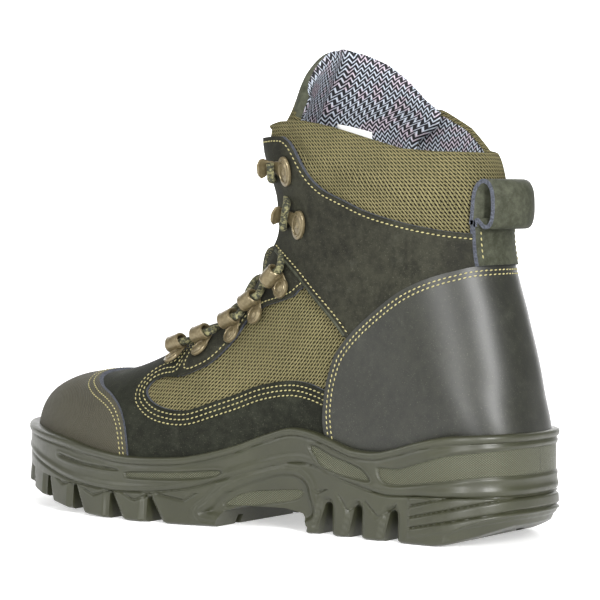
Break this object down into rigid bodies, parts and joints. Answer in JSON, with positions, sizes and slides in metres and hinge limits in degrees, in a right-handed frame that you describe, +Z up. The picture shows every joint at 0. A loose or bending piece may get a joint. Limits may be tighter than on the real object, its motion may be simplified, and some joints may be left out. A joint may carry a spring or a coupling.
{
  "type": "winter boot",
  "caption": "Left lace-up ankle winter boot with padded knit collar, leather overlays, ribbed toe cap, riveted lace rings, speed hooks, rear pull loop and lugged rubber sole.",
  "frame": {"origin": "on the floor under the middle of the heel's flat tread", "axes": "+X to the toe, +Y to the left, which is the outer side of this left boot, +Z up"},
  "size_m": [0.3095, 0.105, 0.2256],
  "materials": {
    "leather": "nubuck, dark grey-green, lightly mottled",
    "knit": "coarse khaki-olive spacer knit over dark holes",
    "lining": "black and white zigzag woven lining",
    "toe_rubber": "brownish-olive rubberised, fine diagonal ribs",
    "sole_rubber": "olive moulded rubber",
    "hardware": "khaki-brass enamel",
    "lace": "braided round cord, olive with black flecks"
  },
  "bodies": {
    "root": {"upper": "knit", "tongue": "knit", "insole": "lining", "toe_cap": "toe_rubber", "vamp": "leather", "eyestay_outer": "leather", "eyestay_inner": "leather", "quarter_outer": "leather", "quarter_inner": "leather", "heel_counter": "leather", "pull_loop": "leather", "midsole": "sole_rubber", "outsole": "sole_rubber", "laces": "lace", "d_ring_1_outer": "hardware", "d_ring_1_inner": "hardware", "d_ring_2_outer": "hardware", "d_ring_2_inner": "hardware", "d_ring_3_outer": "hardware", "d_ring_3_inner": "hardware", "d_ring_4_outer": "hardware", "d_ring_4_inner": "hardware", "d_ring_5_outer": "hardware", "d_ring_5_inner": "hardware", "hook_1_outer": "hardware", "hook_1_inner": "hardware", "hook_2_outer": "hardware", "hook_2_inner": "hardware"}
  },
  "joints": []
}
